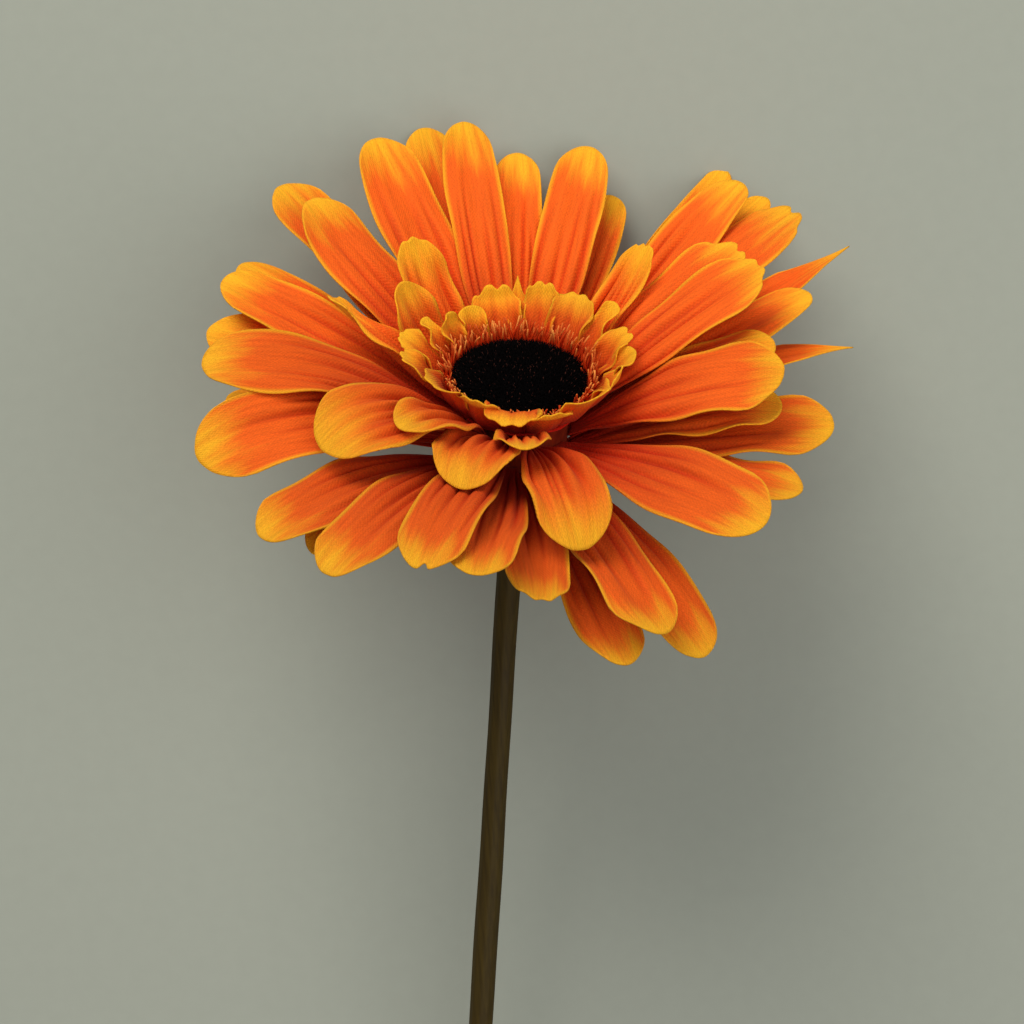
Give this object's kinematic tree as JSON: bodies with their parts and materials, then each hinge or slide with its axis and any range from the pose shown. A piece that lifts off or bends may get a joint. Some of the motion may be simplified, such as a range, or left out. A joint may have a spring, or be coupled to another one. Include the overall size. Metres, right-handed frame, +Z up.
{
  "type": "cut artificial gerbera",
  "caption": "Fabric gerbera flower with layered strap petals, a small cupped collar, a thread fringe and a dark pile disc on a straight cut stem, lying on its side.",
  "frame": {"origin": "under the middle of the object's box, on the surface that it lies on", "axes": "+Z up, +Y from the stem's cut end to the flower head, and +X to the right of the bloom as it is seen from above with the stem towards the viewer"},
  "size_m": [0.1108, 0.297, 0.0826],
  "materials": {
    "petal_cloth": "woven polyester dyed orange, deep red at the root and yellow at the tip, pressed with lengthwise creases",
    "short_petal_cloth": "woven polyester dyed orange with a wide yellow edge, pleated",
    "collar_cloth": "woven polyester, orange with a bright yellow rim",
    "fringe_thread": "cut orange threads with pale tips",
    "disc_pile": "short black pile with fine red-brown specks",
    "hub_plastic": "moulded, matt, red-orange",
    "calyx_plastic": "moulded olive green, satin",
    "stem_plastic": "moulded olive brown, satin, with fine lengthwise lines",
    "wire_steel": "drawn wire"
  },
  "bodies": {
    "root": {"back_petal_01": "petal_cloth", "back_petal_02": "petal_cloth", "back_petal_03": "petal_cloth", "back_petal_04": "petal_cloth", "back_petal_05": "petal_cloth", "back_petal_06": "petal_cloth", "back_petal_07": "petal_cloth", "back_petal_08": "petal_cloth", "back_petal_09": "petal_cloth", "back_petal_10": "petal_cloth", "back_petal_11": "petal_cloth", "back_petal_12": "petal_cloth", "back_petal_13": "petal_cloth", "middle_petal_01": "petal_cloth", "middle_petal_02": "petal_cloth", "middle_petal_03": "petal_cloth", "middle_petal_04": "petal_cloth", "middle_petal_05": "petal_cloth", "middle_petal_06": "petal_cloth", "middle_petal_07": "petal_cloth", "middle_petal_08": "petal_cloth", "middle_petal_09": "petal_cloth", "middle_petal_10": "petal_cloth", "middle_petal_11": "petal_cloth", "middle_petal_12": "petal_cloth", "middle_petal_13": "petal_cloth", "front_petal_01": "petal_cloth", "front_petal_02": "petal_cloth", "front_petal_03": "petal_cloth", "front_petal_04": "petal_cloth", "front_petal_05": "petal_cloth", "front_petal_06": "petal_cloth", "front_petal_07": "petal_cloth", "front_petal_08": "petal_cloth", "front_petal_09": "petal_cloth", "front_petal_10": "petal_cloth", "front_petal_11": "petal_cloth", "front_petal_12": "petal_cloth", "short_petal_01": "short_petal_cloth", "short_petal_02": "short_petal_cloth", "short_petal_03": "short_petal_cloth", "short_petal_04": "short_petal_cloth", "short_petal_05": "short_petal_cloth", "short_petal_06": "short_petal_cloth", "short_petal_07": "short_petal_cloth", "short_petal_08": "short_petal_cloth", "short_petal_09": "short_petal_cloth", "collar": "collar_cloth", "fringe": "fringe_thread", "disc": "disc_pile", "hub": "hub_plastic", "calyx": "calyx_plastic", "stem": "stem_plastic", "stem_wire": "wire_steel"}
  },
  "joints": []
}
